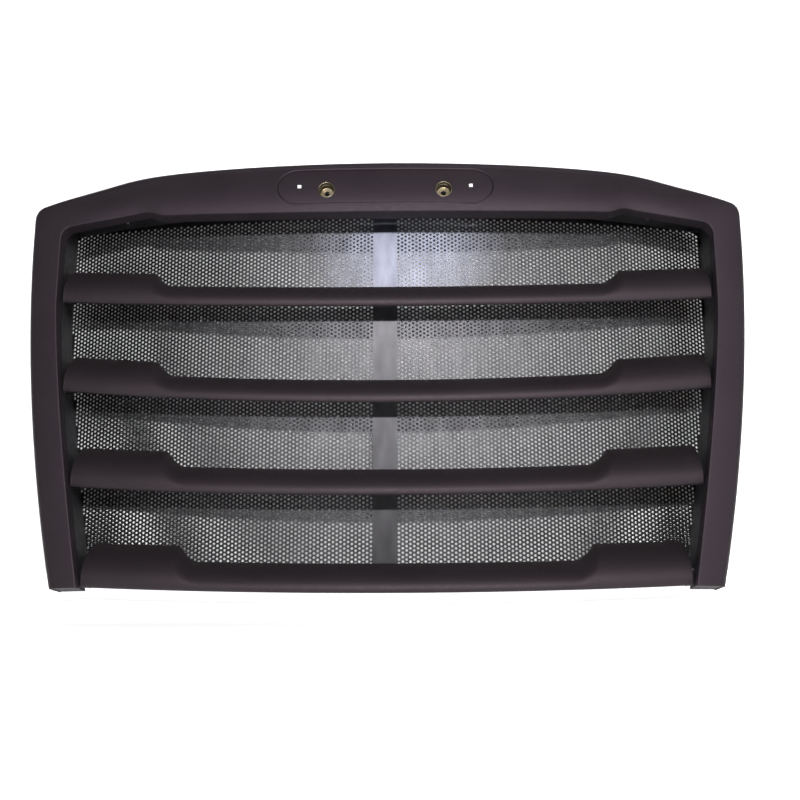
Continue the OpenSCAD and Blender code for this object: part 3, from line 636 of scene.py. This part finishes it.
def louvre_section(n, x):
    """One wall section of louvre n as [outside, inside] pairs: flange, rounded nose and quarter oval."""
    pairs = [((y, 0), (y, LOUVRE_WALL)) for y in FLANGE]
    for i in range(NOSE_TURNS + 1):
        a = math.radians(90 * i / NOSE_TURNS)
        pairs.append(((NOSE * (1 - math.sin(a)), NOSE * (1 - math.cos(a))),
                      (NOSE + NOSE_INSIDE - NOSE_INSIDE * math.sin(a),
                       LOUVRE_WALL + NOSE_INSIDE * (1 - math.cos(a)))))
    for i in range(1, ARC_TURNS + 1):
        t = math.radians(90 * i / ARC_TURNS)
        u = wide_part(n, x, math.sin(t))
        tall = mix(NARROW_SIZE[0], WIDE_SIZE[0], u) - NOSE
        deep = mix(NARROW_SIZE[1], WIDE_SIZE[1], u)
        pairs.append(((deep * (1 - math.cos(t)), NOSE + tall * math.sin(t)),
                      (deep - (deep - LOUVRE_WALL) * math.cos(t),
                       NOSE + 1 + (tall - LOUVRE_WALL - 1) * math.sin(t))))
    base_y, base_z = lip_y(n, x) - REF_DEPTH, lip_z(n, x) - REF_HEIGHT
    return [[(x, base_y + y, base_z + z) for y, z in pair] for pair in pairs]


def louvre_stations(n):
    """The places across a louvre where its section is built, closer together where the section changes."""
    end = LOUVRE_HALVES[n] - END_WALL
    wide = LOUVRE_HALVES[n] - WIDE_LENGTH
    narrow = wide - STEP_LENGTH - CREASE_PULL
    half = [mix(end, wide, i / WIDE_STATIONS) for i in range(WIDE_STATIONS)]
    half += [mix(wide, narrow, i / STEP_STATIONS) for i in range(STEP_STATIONS)]
    half += [mix(narrow, 0, i / NARROW_STATIONS) for i in range(NARROW_STATIONS + 1)]
    return [-x for x in half] + list(reversed(half[:-1]))


def louvre_end(n, side):
    """The wall that closes an end of a louvre, rounded where it meets the outside."""
    section = louvre_section(n, side * (LOUVRE_HALVES[n] - END_WALL))
    outline = [p[0] for p in section]
    steps = [(-END_WALL, 0), (-END_ROUND, 0)]
    for i in range(1, END_TURNS + 1):
        a = math.radians(90 * i / END_TURNS)
        steps.append((END_ROUND * (math.sin(a) - 1), END_ROUND * (1 - math.cos(a))))
    rings = []
    for along, inset in steps:
        x = side * (LOUVRE_HALVES[n] + along)
        rings.append([(x, p[1] + d[0] * inset, p[2] + d[1] * inset)
                      for p, d in zip(outline, inward(outline))])
    return loft(rings)


def inward(outline):
    """Unit directions in y and z that point into an outline, which runs from flange over nose to rear."""
    directions = []
    for k in range(len(outline)):
        before = outline[max(0, k - 1)]
        after = outline[min(len(outline) - 1, k + 1)]
        dy, dz = after[1] - before[1], after[2] - before[2]
        length = math.hypot(dy, dz)
        directions.append((dz / length, -dy / length))
    return directions


def make_louvre(n):
    parts = [shell([louvre_section(n, x) for x in louvre_stations(n)])]
    parts += [louvre_end(n, side) for side in (-1, 1)]
    return mesh_object("louvre_%d_skin" % (4 - n), *merged(parts), smooth_angle=32)


# ---- Perforated screen ----

HOLE_RADIUS = 2.2
ROW_PITCH = 7.0
COLUMN_PITCH = ROW_PITCH * math.sqrt(3) / 2
STRIP_COLUMNS = 4
RIGHT_SHIFT = 3.7
HOLE_SIDES = 12
SHEET_REACH = 600
SHEET_ROWS = 110
FIRST_ROW = SCREEN_BASE - 4
FIRST_ROW_BELOW = 8
SHEET_PAST_LEG = 19.5
SHEET_PAST_ARCH = 33.5
HOLES_ABOVE_BASE = 22
HOLES_PAST_LEG = 4
HOLES_PAST_ARCH = 10.5
HOLES_ARCH_DROP = 3


def screen_point(s, v, depth):
    """A point of the screen: s runs along its bend and v up it."""
    angle = s / SCREEN_RADIUS
    radius = SCREEN_RADIUS - depth
    x = radius * math.sin(angle)
    return at(x, v, -(SCREEN_DEPTH + SCREEN_RADIUS - radius * math.cos(angle)))


def screen_side(v):
    return SCREEN_RADIUS * math.asin((leg_inner(v) + SHEET_PAST_LEG) / SCREEN_RADIUS)


def screen_top(s):
    x = SCREEN_RADIUS * math.sin(s / SCREEN_RADIUS)
    return top_line(x) + SHEET_PAST_ARCH


def perforated(s, v):
    """Whether a cell of the sheet has a hole."""
    x = abs(SCREEN_RADIUS * math.sin(s / SCREEN_RADIUS))
    top = ARCH_HEIGHT + HOLES_PAST_ARCH - HOLES_ARCH_DROP * (x / OPENING_HALF) ** 4
    beside = leg_inner(v) + HOLES_PAST_LEG
    return SCREEN_BASE + HOLES_ABOVE_BASE <= v < top - HOLE_RADIUS and x < beside - HOLE_RADIUS


BAY_EDGES = (SCREEN_BASE, 235, 385, 535, 760)


def make_screen():
    """The sheet as hexagonal cells, with a round hole in each perforated one, in eight pieces."""
    columns = int(SHEET_REACH / COLUMN_PITCH)
    corner = ROW_PITCH / math.sqrt(3)
    pieces = []
    for side in (-1, 1):
        for bay in range(len(BAY_EDGES) - 1):
            cells = []
            lowest = BAY_EDGES[bay] - (FIRST_ROW_BELOW if bay == 0 else 0)
            for column in range(STRIP_COLUMNS, columns + 1):
                s = side * column * COLUMN_PITCH - (RIGHT_SHIFT if side > 0 else 0)
                for row in range(SHEET_ROWS):
                    v = FIRST_ROW + (row + (column % 2) / 2) * ROW_PITCH
                    if (lowest <= v < BAY_EDGES[bay + 1] and abs(s) < screen_side(v) + corner
                            and v < screen_top(s) + corner):
                        cells.append((s, v))
            name = "screen_%s_%d" % (side_name(side), 4 - bay)
            pieces.append(screen_piece(name, cells, corner, side < 0))
    return pieces


def screen_piece(name, cells, corner, with_strip):
    """One part of the sheet, with shared cell corners: front, back, hole walls and outer edge."""
    index = {}
    flat = []

    def vertex(s, v):
        v = max(SCREEN_BASE, min(v, screen_top(s)))
        side = screen_side(v)
        s = max(-side, min(s, side))
        key = (round(s * 20), round(v * 20))
        if key not in index:
            index[key] = len(flat)
            flat.append((s, v))
        return index[key]

    front = []
    walls = []
    for s, v in cells:
        ring = [vertex(s + corner * math.cos(a), v + corner * math.sin(a))
                for a in (math.radians(60 * k) for k in range(6))]
        if len(set(ring)) < 6 or not perforated(s, v):
            ring = list(dict.fromkeys(ring))
            if len(ring) > 2:
                front.append(ring)
            continue
        hole = list(range(len(flat), len(flat) + HOLE_SIDES))
        flat += circle((s, v), HOLE_RADIUS, HOLE_SIDES)
        for k in range(6):
            front.append([ring[k], ring[(k + 1) % 6],
                          hole[(2 * k + 2) % HOLE_SIDES], hole[2 * k + 1], hole[2 * k]])
        walls.append(hole)
    if with_strip:
        left = -STRIP_COLUMNS * COLUMN_PITCH
        right = STRIP_COLUMNS * COLUMN_PITCH - RIGHT_SHIFT
        half = ROW_PITCH / 2
        for v in [v for s, v in cells if s == left]:
            edge_right = [vertex(right - corner / 2, v - half), vertex(right - corner, v),
                          vertex(right - corner / 2, v + half)]
            edge_left = [vertex(left + corner / 2, v + half), vertex(left + corner, v),
                         vertex(left + corner / 2, v - half)]
            middle = [vertex((left + right) / 2, v - half), vertex((left + right) / 2, v + half)]
            front.append([middle[0]] + edge_right + [middle[1]])
            front.append([middle[1]] + edge_left + [middle[0]])
    count = len(flat)
    points = [screen_point(s, v, d) for d in (0, SHEET) for s, v in flat]
    faces = [tuple(reversed(f)) for f in front] + [tuple(count + i for i in f) for f in front]
    for hole in walls:
        for k in range(HOLE_SIDES):
            a, b = hole[k], hole[(k + 1) % HOLE_SIDES]
            faces.append((a, b, count + b, count + a))
    used = {}
    for face in front:
        for k in range(len(face)):
            a, b = face[k], face[(k + 1) % len(face)]
            used[(a, b)] = used.get((a, b), 0) + 1
    hole_edges = {(h[(k + 1) % HOLE_SIDES], h[k]) for h in walls for k in range(HOLE_SIDES)}
    for a, b in used:
        if (b, a) not in used and (a, b) not in hole_edges and (b, a) not in hole_edges:
            faces.append((a, b, count + b, count + a))
    obj = raw_mesh(name, points, faces)
    bm = bmesh.new()
    bm.from_mesh(obj.data)
    bmesh.ops.recalc_face_normals(bm, faces=bm.faces)
    bm.to_mesh(obj.data)
    bm.free()
    return obj


# ---- Materials ----

class Nodes:
    """Short names for building a material's nodes."""

    def __init__(self, name):
        self.material = bpy.data.materials.new(name)
        self.material.use_nodes = True
        self.tree = self.material.node_tree
        self.shader = self.tree.nodes["Principled BSDF"]
        self.place = self.add("ShaderNodeTexCoord").outputs["Object"]

    def add(self, kind, **settings):
        node = self.tree.nodes.new(kind)
        for key, value in settings.items():
            if key in node.inputs:
                node.inputs[key].default_value = value
            else:
                setattr(node, key, value)
        return node

    def link(self, source, target):
        self.tree.links.new(source, target)

    def axes(self):
        """The X, Y and Z of a place on the object."""
        node = self.add("ShaderNodeSeparateXYZ")
        self.link(self.place, node.inputs["Vector"])
        return node.outputs

    def maths(self, operation, first, second=None):
        """A Math node's result; the second input may be a socket, a number or nothing."""
        node = self.add("ShaderNodeMath", operation=operation)
        self.link(first, node.inputs[0])
        if isinstance(second, bpy.types.NodeSocket):
            self.link(second, node.inputs[1])
        elif second is not None:
            node.inputs[1].default_value = second
        return node.outputs[0]

    def scaled(self, scale):
        node = self.add("ShaderNodeMapping")
        node.inputs["Scale"].default_value = scale
        self.link(self.place, node.inputs["Vector"])
        return node.outputs["Vector"]

    def noise(self, scale, detail=3.0, stretch=None):
        node = self.add("ShaderNodeTexNoise", Scale=scale, Detail=detail)
        self.link(self.scaled(stretch) if stretch else self.place, node.inputs["Vector"])
        return node.outputs["Fac"]

    def ramp(self, value, low, high, low_at=0.0, high_at=1.0):
        node = self.add("ShaderNodeMapRange")
        node.inputs["From Min"].default_value = low_at
        node.inputs["From Max"].default_value = high_at
        node.inputs["To Min"].default_value = low
        node.inputs["To Max"].default_value = high
        self.link(value, node.inputs["Value"])
        return node.outputs["Result"]

    def colours(self, value, low, high, low_at=0.3, high_at=0.7):
        node = self.add("ShaderNodeValToRGB")
        node.color_ramp.elements[0].position = low_at
        node.color_ramp.elements[0].color = (*low, 1)
        node.color_ramp.elements[1].position = high_at
        node.color_ramp.elements[1].color = (*high, 1)
        self.link(value, node.inputs["Fac"])
        return node.outputs["Color"]

    def mixed(self, first, second, factor, blend_type="MIX"):
        node = self.add("ShaderNodeMix", data_type="RGBA", blend_type=blend_type)
        for value, name in ((first, "A"), (second, "B"), (factor, "Factor")):
            target = next(i for i in node.inputs if i.name == name and i.enabled)
            if isinstance(value, bpy.types.NodeSocket):
                self.link(value, target)
            else:
                target.default_value = (*value, 1) if isinstance(value, tuple) else value
        return next(o for o in node.outputs if o.enabled)

    def bump(self, value, strength, distance):
        node = self.add("ShaderNodeBump", Strength=strength, Distance=distance)
        self.link(value, node.inputs["Height"])
        self.link(node.outputs["Normal"], self.shader.inputs["Normal"])

    def set(self, **values):
        for key, value in values.items():
            self.shader.inputs[key.replace("_", " ")].default_value = value


def moulded_plastic(name, dark, light, rough, gloss):
    """Satin moulded plastic: fine grain, slow drift in tone and a trace of uneven gloss."""
    m = Nodes(name)
    m.link(m.colours(m.noise(9, 4), dark, light), m.shader.inputs["Base Color"])
    m.link(m.ramp(m.noise(160, 5), rough - 0.04, rough + 0.05, 0.3, 0.7), m.shader.inputs["Roughness"])
    m.bump(m.noise(1500, 2), 0.25, 0.00012)
    m.shader.inputs["Specular IOR Level"].default_value = gloss
    m.shader.inputs["Specular Tint"].default_value = (1.0, 0.8, 0.93, 1.0)
    return m.material


# Painted highlight: the screen's tone is lighter in this patch, where the key light glares on the sheet.
GLARE_X = 0.035
GLARE_Z = -0.1
GLARE_HALF_WIDTH = 0.17
GLARE_HALF_HEIGHT = 0.12
# Painted shade: the screen's tone darkens toward its bottom, between these heights.
LOW_SHADE_TONE = 0.72
LOW_SHADE_HEIGHTS = (-0.6, -0.42)


def rolled_sheet(name, dark, light, glare_tone):
    """Dull bare sheet: upright rolling lines and rougher downward; its tone holds painted light: a painted
    sheen lighter toward the middle, painted shade darker toward the bottom, and a painted highlight where the
    key light glares.
    """
    m = Nodes(name)
    lines = m.noise(60, 6, (1.0, 1.0, 0.03))
    axes = m.axes()
    # Painted sheen: the sheet's tone is lighter toward the middle and darker outward.
    centre_sheen = m.ramp(m.maths("ABSOLUTE", axes["X"]), 1.0, 0.0, 0.12, 0.5)
    # Painted highlight: a lighter patch of tone where the key light glares on the sheet.
    glare_place = m.add("ShaderNodeMapping")
    glare_place.inputs["Location"].default_value = (-GLARE_X / GLARE_HALF_WIDTH, 0.0, -GLARE_Z / GLARE_HALF_HEIGHT)
    glare_place.inputs["Scale"].default_value = (1 / GLARE_HALF_WIDTH, 0.0, 1 / GLARE_HALF_HEIGHT)
    m.link(m.place, glare_place.inputs["Vector"])
    ball = m.add("ShaderNodeTexGradient", gradient_type="SPHERICAL")
    m.link(glare_place.outputs["Vector"], ball.inputs["Vector"])
    glare = m.ramp(ball.outputs["Fac"], 0.0, 1.0, 0.0, 0.6)
    tone = m.mixed(m.colours(centre_sheen, dark, light, 0.0, 1.0), glare_tone, glare)
    tone = m.mixed(tone, m.colours(lines, (0.8, 0.8, 0.8), (1.2, 1.2, 1.2)), 1.0, "MULTIPLY")
    # Painted shade: the tone darkens toward the bottom of the sheet.
    low_shade_mask = m.ramp(axes["Z"], 0.0, 1.0, *LOW_SHADE_HEIGHTS)
    low_shade = m.colours(low_shade_mask, (LOW_SHADE_TONE,) * 3, (1, 1, 1), 0.0, 1.0)
    tone = m.mixed(tone, low_shade, 1.0, "MULTIPLY")
    m.link(tone, m.shader.inputs["Base Color"])
    m.link(m.ramp(axes["Z"], 0.72, 0.45, -0.58, -0.15), m.shader.inputs["Roughness"])
    m.bump(m.noise(700, 3, (1.0, 1.0, 0.05)), 0.05, 0.0002)
    m.set(Metallic=1.0)
    return m.material


def coated_steel(name, dark, light, rough):
    """Steel with a satin coat: slow drift in tone and a slight orange peel."""
    m = Nodes(name)
    m.link(m.colours(m.noise(14, 5), dark, light), m.shader.inputs["Base Color"])
    m.link(m.ramp(m.noise(90, 4), rough - 0.06, rough + 0.08, 0.3, 0.7), m.shader.inputs["Roughness"])
    m.bump(m.noise(420, 3), 0.2, 0.0002)
    return m.material


def plated_steel(name, dark, light, rough):
    """Zinc-plated steel: spangled tone and fine scratches."""
    m = Nodes(name)
    spangle = m.add("ShaderNodeTexVoronoi", Scale=120.0)
    m.link(m.place, spangle.inputs["Vector"])
    m.link(m.colours(spangle.outputs["Distance"], dark, light, 0.0, 0.8), m.shader.inputs["Base Color"])
    streaks = m.noise(240, 5, (1.0, 0.2, 1.0))
    m.link(m.ramp(streaks, rough - 0.1, rough + 0.1, 0.3, 0.7), m.shader.inputs["Roughness"])
    m.bump(m.noise(600, 4), 0.1, 0.0002)
    m.set(Metallic=1.0)
    return m.material


def turned_brass(name, dark, light, rough):
    """Dull turned brass, with lines left by the tool."""
    m = Nodes(name)
    m.link(m.colours(m.noise(60, 4), dark, light), m.shader.inputs["Base Color"])
    m.link(m.ramp(m.noise(300, 3), rough - 0.08, rough + 0.1, 0.3, 0.7), m.shader.inputs["Roughness"])
    m.bump(m.noise(500, 2, (0.3, 1.0, 1.0)), 0.15, 0.0003)
    m.set(Metallic=1.0)
    return m.material


def soft_rubber(name, dark, light, grain, depth):
    """Matte rubber or foam, with a grain of some scale and depth."""
    m = Nodes(name)
    m.link(m.colours(m.noise(40, 4), dark, light), m.shader.inputs["Base Color"])
    m.link(m.ramp(m.noise(120, 3), 0.7, 0.9, 0.3, 0.7), m.shader.inputs["Roughness"])
    m.bump(m.noise(grain, 4), 0.5, depth)
    return m.material


def white_nylon(name):
    """Natural nylon, a little uneven in tone and gloss."""
    m = Nodes(name)
    tone = m.colours(m.noise(200, 3), (0.72, 0.72, 0.7), (0.85, 0.85, 0.84))
    m.link(tone, m.shader.inputs["Base Color"])
    m.link(m.ramp(m.noise(300, 3), 0.4, 0.55, 0.3, 0.7), m.shader.inputs["Roughness"])
    m.bump(m.noise(700, 2), 0.1, 0.0001)
    return m.material


MATERIALS = {
    "surround_plastic": moulded_plastic("surround_plastic", (0.0085, 0.0065, 0.0085),
                                        (0.0115, 0.009, 0.0112), 0.62, 0.35),
    "louvre_plastic": moulded_plastic("louvre_plastic", (0.0085, 0.0068, 0.0078),
                                      (0.0115, 0.0092, 0.0104), 0.6, 0.35),
    # The screen's third tone is a painted highlight, where the key light glares on the sheet.
    "screen_metal": rolled_sheet("screen_metal", (0.026, 0.026, 0.027), (0.07, 0.068, 0.073),
                                 (0.14, 0.143, 0.18)),
    "frame_metal": coated_steel("frame_metal", (0.012, 0.012, 0.014), (0.02, 0.02, 0.022), 0.45),
    "strap_metal": plated_steel("strap_metal", (0.45, 0.45, 0.46), (0.6, 0.6, 0.62), 0.42),
    "bush_brass": turned_brass("bush_brass", (0.09, 0.073, 0.047), (0.16, 0.135, 0.095), 0.36),
    "clip_nylon": white_nylon("clip_nylon"),
    "plug_rubber": soft_rubber("plug_rubber", (0.008, 0.008, 0.008), (0.016, 0.016, 0.016), 500, 0.0002),
    "bracket_steel": plated_steel("bracket_steel", (0.4, 0.4, 0.41), (0.55, 0.55, 0.57), 0.4),
    "fastener_steel": plated_steel("fastener_steel", (0.5, 0.5, 0.52), (0.7, 0.7, 0.72), 0.35),
    "seal_foam": soft_rubber("seal_foam", (0.012, 0.012, 0.012), (0.024, 0.024, 0.024), 260, 0.0006),
}


def dress(piece, slot):
    piece.data.materials.clear()
    piece.data.materials.append(MATERIALS[slot])


def add_piece(piece, slot, *nodes):
    """Dresses a new piece, lets it ride on the one rigid body and hides the CAD nodes that it stands for."""
    dress(piece, slot)
    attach(piece, "root")
    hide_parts(*nodes)


# ---- The pieces ----

SLOT_OF = {row["node"]: row["material_slot"] for row in frame["record"]["subparts"]}
for node, obj in frame["nodes"].items():
    obj.data.materials.clear()
    obj.data.materials.append(MATERIALS[SLOT_OF[node]])

add_piece(make_surround(), "surround_plastic", "surround")
add_piece(make_plate(), "surround_plastic", "badge_plate")
for side, node in ((-1, "badge_bush_left"), (1, "badge_bush_right")):
    add_piece(make_bush(side), "bush_brass", node)
for n in range(4):
    add_piece(make_louvre(n), "louvre_plastic", "louvre_%d" % (4 - n))
for sheet in make_screen():
    add_piece(sheet, "screen_metal", "bug_screen")


# ---- Camera, stage and light ----

TARGET = Vector((24.0, -269.2, -349.5)) * MM
DISTANCE = 1.869
ELEVATION = math.radians(3)
AZIMUTH = math.radians(0.8)
ROLL = math.radians(0.36)
FOCAL_LENGTH = 54
SENSOR_WIDTH = 36


def make_camera():
    data = bpy.data.cameras.new("camera")
    data.lens = FOCAL_LENGTH
    data.sensor_width = SENSOR_WIDTH
    camera = linked("camera", data)
    back = Vector((math.sin(AZIMUTH) * math.cos(ELEVATION), -math.cos(AZIMUTH) * math.cos(ELEVATION),
                   math.sin(ELEVATION)))
    right = (-back).cross(Vector((0, 0, 1))).normalized()
    up = right.cross(-back)
    rolled_right = math.cos(ROLL) * right - math.sin(ROLL) * up
    rolled_up = math.sin(ROLL) * right + math.cos(ROLL) * up
    place = TARGET + back * DISTANCE
    camera.matrix_world = Matrix((
        (rolled_right.x, rolled_up.x, back.x, place.x),
        (rolled_right.y, rolled_up.y, back.y, place.y),
        (rolled_right.z, rolled_up.z, back.z, place.z),
        (0, 0, 0, 1)))
    bpy.context.scene.camera = camera


def stage_mesh(name, points, faces, material):
    """A sheet of the stage, from points in metres."""
    mesh = bpy.data.meshes.new(name)
    mesh.from_pydata(points, [], faces)
    mesh.materials.append(material)
    linked(name, mesh)


FLOOR_GLOW_Y = -0.27
FLOOR_GLOW = (0.8, 0.06)
FLOOR_GLOW_AWAY = (0.07, 0.13)
BOARD_GLOW = 0.4
BOARD_GLOW_X = (0.54, 0.62)
BOARD_GLOW_Z = (0.02, 0.06)
BOARD_FOOT_GLOW = 0.8
BOARD_FOOT_Z = (-0.645, -0.635)


def paper(name, tone):
    """The nodes of plain pale studio paper."""
    m = Nodes(name)
    colour = (tone, tone, tone)
    m.link(m.colours(m.noise(3, 2), colour, colour), m.shader.inputs["Base Color"])
    m.set(Roughness=0.9)
    m.shader.inputs["Emission Color"].default_value = (1, 1, 1, 1)
    return m


def floor_paper():
    """Paper that glows in a strip across the floor, under the grille's foot."""
    m = paper("floor_paper", 0.88)
    away = m.maths("ABSOLUTE", m.maths("ADD", m.axes()["Y"], -FLOOR_GLOW_Y))
    m.link(m.ramp(away, *FLOOR_GLOW, *FLOOR_GLOW_AWAY), m.shader.inputs["Emission Strength"])
    return m.material


def board_paper():
    """Paper that glows beside, above and below the grille, and is open from behind."""
    m = paper("board_paper", 0.85)
    axes = m.axes()
    beside = m.ramp(m.maths("ABSOLUTE", axes["X"]), 0.0, BOARD_GLOW, *BOARD_GLOW_X)
    above = m.ramp(axes["Z"], 0.0, BOARD_GLOW, *BOARD_GLOW_Z)
    foot = m.ramp(axes["Z"], BOARD_FOOT_GLOW, 0.0, *BOARD_FOOT_Z)
    glow = m.maths("MAXIMUM", m.maths("MAXIMUM", beside, above), foot)
    m.link(glow, m.shader.inputs["Emission Strength"])
    clear = m.add("ShaderNodeBsdfTransparent")
    both = m.add("ShaderNodeMixShader")
    facing = m.add("ShaderNodeNewGeometry")
    m.link(facing.outputs["Backfacing"], both.inputs["Fac"])
    m.link(m.shader.outputs["BSDF"], both.inputs[1])
    m.link(clear.outputs["BSDF"], both.inputs[2])
    m.link(both.outputs["Shader"], m.tree.nodes["Material Output"].inputs["Surface"])
    return m.material


BOARD_LEAN = math.tan(math.radians(20.5))
BOARD_GAP = 0.038
BOARD_FLAT = 0.4
BOARD_BEND = 0.3
BOARD_CURVE = 1.33
BOARD_BENDS = 24
BOARD_TOP = 1.2
FLOOR_GAP = 0.0005
STAGE_REACH = 3.0
STAGE_FRONT = -6.0


def board_depth(x, z):
    """How far back the white board that leans behind the grille is; its sides are bent back a little."""
    past = min(max(0.0, abs(x) - BOARD_FLAT), BOARD_BEND)
    return BOARD_GAP + z * BOARD_LEAN + BOARD_CURVE * past ** 2


def make_stage():
    """A pale floor just under the grille, and a white board that leans behind it."""
    floor_z = CAD_BOX[0].z - FLOOR_GAP
    reach = STAGE_REACH
    stage_mesh("floor", [(-reach, STAGE_FRONT, floor_z), (reach, STAGE_FRONT, floor_z),
                         (reach, reach, floor_z), (-reach, reach, floor_z)], [(0, 1, 2, 3)], floor_paper())
    edge = BOARD_FLAT + BOARD_BEND
    xs = [-reach] + [mix(-edge, edge, i / BOARD_BENDS) for i in range(BOARD_BENDS + 1)] + [reach]
    points = [(x, board_depth(x, z), z) for z in (floor_z, BOARD_TOP) for x in xs]
    faces = [(i, i + 1, len(xs) + i + 1, len(xs) + i) for i in range(len(xs) - 1)]
    stage_mesh("board", points, faces, board_paper())


def soft_box(name, place, size, power):
    """A white area light at a place, in metres, that looks at the middle of the grille."""
    data = bpy.data.lights.new(name, "AREA")
    data.shape = "RECTANGLE"
    data.size, data.size_y = size
    data.energy = power
    light = linked(name, data)
    light.location = place
    light.rotation_mode = "QUATERNION"
    light.rotation_quaternion = (Vector(place) - TARGET).to_track_quat("Z", "Y")
    return light


WORLD_STRENGTH = 0.05
FLOOR_LIGHT_SPREAD = math.radians(50)


def make_lights():
    """A key light in front, a weaker one from the right, one straight down on the floor, and a dim world."""
    soft_box("key", (0.12, -2.545, 0.725), (0.5, 0.1), 100)
    soft_box("side", (1.7, -1.9, 0.75), (0.8, 0.5), 17)
    floor_light = soft_box("floor_light", (0.0, -1.35, 1.3), (1.6, 0.5), 12)
    floor_light.rotation_quaternion = (1, 0, 0, 0)
    floor_light.data.spread = FLOOR_LIGHT_SPREAD
    world = bpy.data.worlds.new("studio")
    world.use_nodes = True
    world.node_tree.nodes["Background"].inputs["Color"].default_value = (1, 1, 1, 1)
    world.node_tree.nodes["Background"].inputs["Strength"].default_value = WORLD_STRENGTH
    bpy.context.scene.world = world
    bpy.context.scene.view_settings.view_transform = "Standard"


make_camera()
make_stage()
make_lights()
